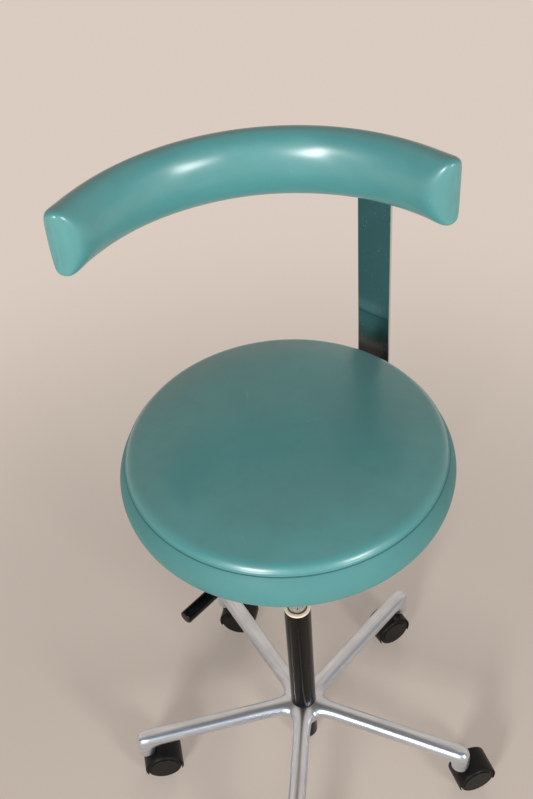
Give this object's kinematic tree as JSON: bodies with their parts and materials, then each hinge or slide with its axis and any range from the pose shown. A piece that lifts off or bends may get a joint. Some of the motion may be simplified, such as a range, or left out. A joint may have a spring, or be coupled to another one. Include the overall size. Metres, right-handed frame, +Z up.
{
  "type": "swivel stool with backrest",
  "caption": "Round upholstered swivel stool with a curved back pad on a flat bent bar, a lever-released gas-lift column and a star base on twin-wheel casters.",
  "frame": {"origin": "On the column's axis at floor level; the foot of the piston rod, the column_foot mount, is 5 mm above it.", "axes": "+Z up along the column, the longest extent; -Y towards the front, where the sitter faces; +X to the viewer's right seen from the front."},
  "size_m": [0.5409, 0.5105, 0.9618],
  "materials": {
    "cast_aluminium": "polished casting",
    "black_enamel": "glossy black enamel",
    "chrome": "bright plating",
    "bright_steel": "bright zinc or turned steel",
    "cream_plastic": "moulded cream plastic",
    "black_nylon": "moulded black nylon",
    "black_phenolic": "glossy black moulding",
    "teal_vinyl": "smooth teal vinyl upholstery, soft sheen",
    "foam": "cut foam",
    "plywood": "plain plywood"
  },
  "bodies": {
    "base": {"star_base": "cast_aluminium", "stand_tube": "black_enamel", "guide_bush": "cream_plastic", "bearing_lower_race": "bright_steel"},
    "rod": {"bearing_cage": "cream_plastic", "bearing_upper_race": "bright_steel", "piston_rod": "chrome", "piston": "bright_steel", "rod_clip": "bright_steel"},
    "seat": {"pressure_tube": "chrome", "rod_guide": "black_nylon", "seat_plate": "bright_steel", "seat_board": "plywood", "seat_foam": "foam", "seat_top_panel": "teal_vinyl", "seat_side_band": "teal_vinyl", "seat_screw_1": "bright_steel", "seat_screw_2": "bright_steel", "seat_screw_3": "bright_steel", "seat_screw_4": "bright_steel", "lever_pivot_pin": "bright_steel", "swing_washer_upper": "black_nylon", "swing_washer_lower": "black_nylon", "swing_collar": "bright_steel"},
    "lever": {"lever_rod": "bright_steel", "lever_grip": "black_phenolic"},
    "valve": {"release_pin": "bright_steel"},
    "backrest": {"back_bar": "chrome", "pad_bolt_1": "bright_steel", "pad_bolt_2": "bright_steel", "pad_core": "plywood", "pad_foam": "foam", "pad_cover": "teal_vinyl"},
    "caster_1": {"caster_hood_1": "black_nylon", "caster_stem_1": "bright_steel", "caster_axle_1": "bright_steel"},
    "wheel_left_1": {"caster_wheel_left_1": "black_nylon"},
    "wheel_right_1": {"caster_wheel_right_1": "black_nylon"},
    "caster_2": {"caster_hood_2": "black_nylon", "caster_stem_2": "bright_steel", "caster_axle_2": "bright_steel"},
    "wheel_left_2": {"caster_wheel_left_2": "black_nylon"},
    "wheel_right_2": {"caster_wheel_right_2": "black_nylon"},
    "caster_3": {"caster_hood_3": "black_nylon", "caster_stem_3": "bright_steel", "caster_axle_3": "bright_steel"},
    "wheel_left_3": {"caster_wheel_left_3": "black_nylon"},
    "wheel_right_3": {"caster_wheel_right_3": "black_nylon"},
    "caster_4": {"caster_hood_4": "black_nylon", "caster_stem_4": "bright_steel", "caster_axle_4": "bright_steel"},
    "wheel_left_4": {"caster_wheel_left_4": "black_nylon"},
    "wheel_right_4": {"caster_wheel_right_4": "black_nylon"},
    "caster_5": {"caster_hood_5": "black_nylon", "caster_stem_5": "bright_steel", "caster_axle_5": "bright_steel"},
    "wheel_left_5": {"caster_wheel_left_5": "black_nylon"},
    "wheel_right_5": {"caster_wheel_right_5": "black_nylon"}
  },
  "joints": [
    {"name": "seat_swivel", "type": "hinge", "parent": "base", "child": "rod", "pos_m": [0, 0, 0.0162], "axis": [0, 0, 1], "continuous": true},
    {"name": "seat_height", "type": "slide", "parent": "rod", "child": "seat", "axis": [0, 0, 1], "range_m": [-0.17, 0]},
    {"name": "lever_lift", "type": "hinge", "parent": "seat", "child": "lever", "pos_m": [-0.00568, -0.01813, 0.5701], "axis": [-0.9544, 0.2987, 0], "range_deg": [0, 5.5], "stiffness_Nm_per_rad": 2, "springref_deg": -8.59},
    {"name": "valve_press", "type": "slide", "parent": "seat", "child": "valve", "axis": [0, 0, -1], "range_m": [0, 0.0022]},
    {"name": "backrest_swing", "type": "hinge", "parent": "seat", "child": "backrest", "pos_m": [0, 0, 0.5473], "axis": [0, 0, 1], "range_deg": [-90, 90]},
    {"name": "caster_swivel_1", "type": "hinge", "parent": "base", "child": "caster_1", "pos_m": [-0.03072, -0.24911, 0.058], "axis": [0, 0, 1], "continuous": true},
    {"name": "wheel_spin_left_1", "type": "hinge", "parent": "caster_1", "child": "wheel_left_1", "pos_m": [-0.0093, -0.24724, 0.0265], "axis": [-0.0872, 0.9962, 0], "continuous": true},
    {"name": "wheel_spin_right_1", "type": "hinge", "parent": "caster_1", "child": "wheel_right_1", "pos_m": [-0.0093, -0.24724, 0.0265], "axis": [-0.0872, 0.9962, 0], "continuous": true},
    {"name": "caster_swivel_2", "type": "hinge", "parent": "base", "child": "caster_2", "pos_m": [0.22743, -0.1062, 0.058], "axis": [0, 0, 1], "continuous": true},
    {"name": "wheel_spin_left_2", "type": "hinge", "parent": "caster_2", "child": "wheel_left_2", "pos_m": [0.24788, -0.09955, 0.0265], "axis": [-0.309, 0.9511, 0], "continuous": true},
    {"name": "wheel_spin_right_2", "type": "hinge", "parent": "caster_2", "child": "wheel_right_2", "pos_m": [0.24788, -0.09955, 0.0265], "axis": [-0.309, 0.9511, 0], "continuous": true},
    {"name": "caster_swivel_3", "type": "hinge", "parent": "base", "child": "caster_3", "pos_m": [0.17128, 0.18348, 0.058], "axis": [0, 0, 1], "continuous": true},
    {"name": "wheel_spin_left_3", "type": "hinge", "parent": "caster_3", "child": "wheel_left_3", "pos_m": [0.15229, 0.17339, 0.0265], "axis": [0.4695, -0.8829, 0], "continuous": true},
    {"name": "wheel_spin_right_3", "type": "hinge", "parent": "caster_3", "child": "wheel_right_3", "pos_m": [0.15229, 0.17339, 0.0265], "axis": [0.4695, -0.8829, 0], "continuous": true},
    {"name": "caster_swivel_4", "type": "hinge", "parent": "base", "child": "caster_4", "pos_m": [-0.12157, 0.21959, 0.058], "axis": [0, 0, 1], "continuous": true},
    {"name": "wheel_spin_left_4", "type": "hinge", "parent": "caster_4", "child": "wheel_left_4", "pos_m": [-0.10081, 0.21403, 0.0265], "axis": [0.2588, 0.9659, 0], "continuous": true},
    {"name": "wheel_spin_right_4", "type": "hinge", "parent": "caster_4", "child": "wheel_right_4", "pos_m": [-0.10081, 0.21403, 0.0265], "axis": [0.2588, 0.9659, 0], "continuous": true},
    {"name": "caster_swivel_5", "type": "hinge", "parent": "base", "child": "caster_5", "pos_m": [-0.24641, -0.04776, 0.058], "axis": [0, 0, 1], "continuous": true},
    {"name": "wheel_spin_left_5", "type": "hinge", "parent": "caster_5", "child": "wheel_left_5", "pos_m": [-0.22518, -0.0444, 0.0265], "axis": [-0.1564, 0.9877, 0], "continuous": true},
    {"name": "wheel_spin_right_5", "type": "hinge", "parent": "caster_5", "child": "wheel_right_5", "pos_m": [-0.22518, -0.0444, 0.0265], "axis": [-0.1564, 0.9877, 0], "continuous": true}
  ],
  "couplings": [
    {"joint": "valve_press", "follows": "lever_lift", "m_per_rad": 0.022}
  ]
}
